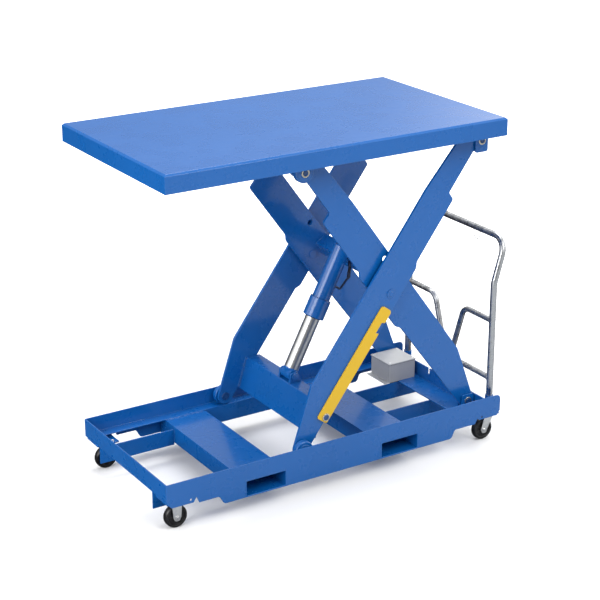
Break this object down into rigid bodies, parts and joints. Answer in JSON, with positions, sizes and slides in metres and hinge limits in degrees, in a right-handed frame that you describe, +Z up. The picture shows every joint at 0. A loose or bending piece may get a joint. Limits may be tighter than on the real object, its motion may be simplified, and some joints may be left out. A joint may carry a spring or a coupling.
{
  "type": "scissor lift table",
  "caption": "Portable hydraulic scissor lift table: flat steel platform on crossed legs over a low base with fork pockets, casters and a push handle.",
  "frame": {"origin": "on the floor, under the middle of the overall length and width of the raised table", "axes": "+X along the length towards the push handle, +Y across to the far side, +Z up; the handle end is the swivel caster end"},
  "size_m": [1.776, 0.914, 1.5451],
  "materials": {
    "blue_paint": "gloss powder coat",
    "yellow_paint": "gloss enamel",
    "galvanised_tube": "bright galvanised",
    "zinc_steel": "zinc plated",
    "dark_steel": "blackened steel",
    "chrome_rod": "hard chrome",
    "grey_plastic": "moulded grey",
    "black_rubber": "hard rubber"
  },
  "bodies": {
    "base": {"side_rail_near": "blue_paint", "side_rail_far": "blue_paint", "front_end_plate": "blue_paint", "fork_pocket_front": "blue_paint", "fork_pocket_rear": "blue_paint", "front_stringers": "blue_paint", "rear_stringers": "blue_paint", "rear_cross_channel": "blue_paint", "base_pivot_brackets": "blue_paint", "base_pivot_pins": "zinc_steel", "handle_frame": "galvanised_tube", "handle_loop_near": "galvanised_tube", "handle_loop_far": "galvanised_tube", "handle_lower_bar": "galvanised_tube", "lanyard_hook": "galvanised_tube", "handle_sockets": "blue_paint", "handle_bolts": "zinc_steel", "control_box": "grey_plastic", "control_box_lid": "grey_plastic", "control_box_screws": "zinc_steel", "rigid_caster_forks": "zinc_steel", "rigid_caster_axles": "zinc_steel", "swivel_caster_plates": "zinc_steel", "caster_bolts": "zinc_steel"},
    "inner_legs": {"inner_leg_near": "blue_paint", "inner_leg_far": "blue_paint", "inner_cross_member": "blue_paint", "cylinder_upper_bracket": "blue_paint", "cylinder_upper_pin": "blue_paint", "center_pins": "blue_paint", "upper_roller_pins": "zinc_steel"},
    "outer_legs": {"outer_leg_near": "blue_paint", "outer_leg_far": "blue_paint", "outer_cross_member": "blue_paint", "cylinder_lower_bracket": "blue_paint", "cylinder_lower_pin": "blue_paint", "lower_roller_pins": "zinc_steel", "maintenance_bar_bolt": "zinc_steel"},
    "platform": {"platform_deck": "blue_paint", "roller_tracks": "blue_paint", "platform_stiffeners": "blue_paint", "platform_brackets": "blue_paint", "platform_pins": "zinc_steel"},
    "cylinder_rod": {"cylinder_rod": "chrome_rod"},
    "cylinder_barrel": {"cylinder_barrel": "blue_paint", "cylinder_gland": "blue_paint", "hydraulic_fitting": "dark_steel"},
    "maintenance_bar": {"maintenance_bar": "yellow_paint"},
    "upper_roller_near": {"upper_roller_near": "blue_paint"},
    "lower_roller_near": {"lower_roller_near": "blue_paint"},
    "front_wheel_near": {"front_wheel_near": "black_rubber"},
    "rear_wheel_near": {"rear_wheel_near": "black_rubber"},
    "swivel_near": {"swivel_fork_near": "zinc_steel", "swivel_axle_near": "zinc_steel"},
    "upper_roller_far": {"upper_roller_far": "blue_paint"},
    "lower_roller_far": {"lower_roller_far": "blue_paint"},
    "front_wheel_far": {"front_wheel_far": "black_rubber"},
    "rear_wheel_far": {"rear_wheel_far": "black_rubber"},
    "swivel_far": {"swivel_fork_far": "zinc_steel", "swivel_axle_far": "zinc_steel"}
  },
  "joints": [
    {"name": "lift", "type": "hinge", "parent": "base", "child": "inner_legs", "pos_m": [0.697, 0, 0.2], "axis": [0, -1, 0], "range_deg": [0, 49.5]},
    {"name": "scissor", "type": "hinge", "parent": "inner_legs", "child": "outer_legs", "pos_m": [0.24374, 0, 0.81254], "axis": [0, -1, 0], "range_deg": [-99.01, 0]},
    {"name": "platform_level", "type": "hinge", "parent": "outer_legs", "child": "platform", "pos_m": [0.697, 0, 1.42508], "axis": [0, -1, 0], "range_deg": [0, 49.51]},
    {"name": "cylinder_swing", "type": "hinge", "parent": "outer_legs", "child": "cylinder_rod", "pos_m": [-0.06378, 0, 0.39694], "axis": [0, -1, 0], "range_deg": [-0.05, 4.44]},
    {"name": "cylinder_stroke", "type": "slide", "parent": "cylinder_rod", "child": "cylinder_barrel", "axis": [0.4574, 0, 0.8893], "range_m": [-0.23116, 0]},
    {"name": "upper_roller_near_spin", "type": "hinge", "parent": "inner_legs", "child": "upper_roller_near", "pos_m": [-0.20951, 0, 1.42508], "axis": [0, 1, 0], "continuous": true},
    {"name": "lower_roller_near_spin", "type": "hinge", "parent": "outer_legs", "child": "lower_roller_near", "pos_m": [-0.20951, 0, 0.2], "axis": [0, 1, 0], "continuous": true},
    {"name": "front_wheel_near_spin", "type": "hinge", "parent": "base", "child": "front_wheel_near", "pos_m": [-0.818, -0.325, 0.0508], "axis": [0, 1, 0], "continuous": true},
    {"name": "swivel_near_turn", "type": "hinge", "parent": "base", "child": "swivel_near", "pos_m": [0.797, -0.325, 0.13], "axis": [0, 0, 1], "continuous": true},
    {"name": "rear_wheel_near_spin", "type": "hinge", "parent": "swivel_near", "child": "rear_wheel_near", "pos_m": [0.772, -0.325, 0.0508], "axis": [0, 1, 0], "continuous": true},
    {"name": "upper_roller_far_spin", "type": "hinge", "parent": "inner_legs", "child": "upper_roller_far", "pos_m": [-0.20951, 0, 1.42508], "axis": [0, 1, 0], "continuous": true},
    {"name": "lower_roller_far_spin", "type": "hinge", "parent": "outer_legs", "child": "lower_roller_far", "pos_m": [-0.20951, 0, 0.2], "axis": [0, 1, 0], "continuous": true},
    {"name": "front_wheel_far_spin", "type": "hinge", "parent": "base", "child": "front_wheel_far", "pos_m": [-0.818, 0.325, 0.0508], "axis": [0, 1, 0], "continuous": true},
    {"name": "swivel_far_turn", "type": "hinge", "parent": "base", "child": "swivel_far", "pos_m": [0.797, 0.325, 0.13], "axis": [0, 0, 1], "continuous": true},
    {"name": "rear_wheel_far_spin", "type": "hinge", "parent": "swivel_far", "child": "rear_wheel_far", "pos_m": [0.772, 0.325, 0.0508], "axis": [0, 1, 0], "continuous": true},
    {"name": "maintenance_bar_swing", "type": "hinge", "parent": "outer_legs", "child": "maintenance_bar", "pos_m": [-0.08948, -0.335, 0.32018], "axis": [0, -1, 0], "range_deg": [-68, 0]}
  ],
  "couplings": [
    {"joint": "scissor", "follows": "lift", "ratio": -2},
    {"joint": "platform_level", "follows": "lift", "ratio": 1},
    {"joint": "cylinder_swing", "follows": "lift", "ratio": 0.088607},
    {"joint": "cylinder_stroke", "follows": "lift", "m_per_rad": -0.26698}
  ]
}
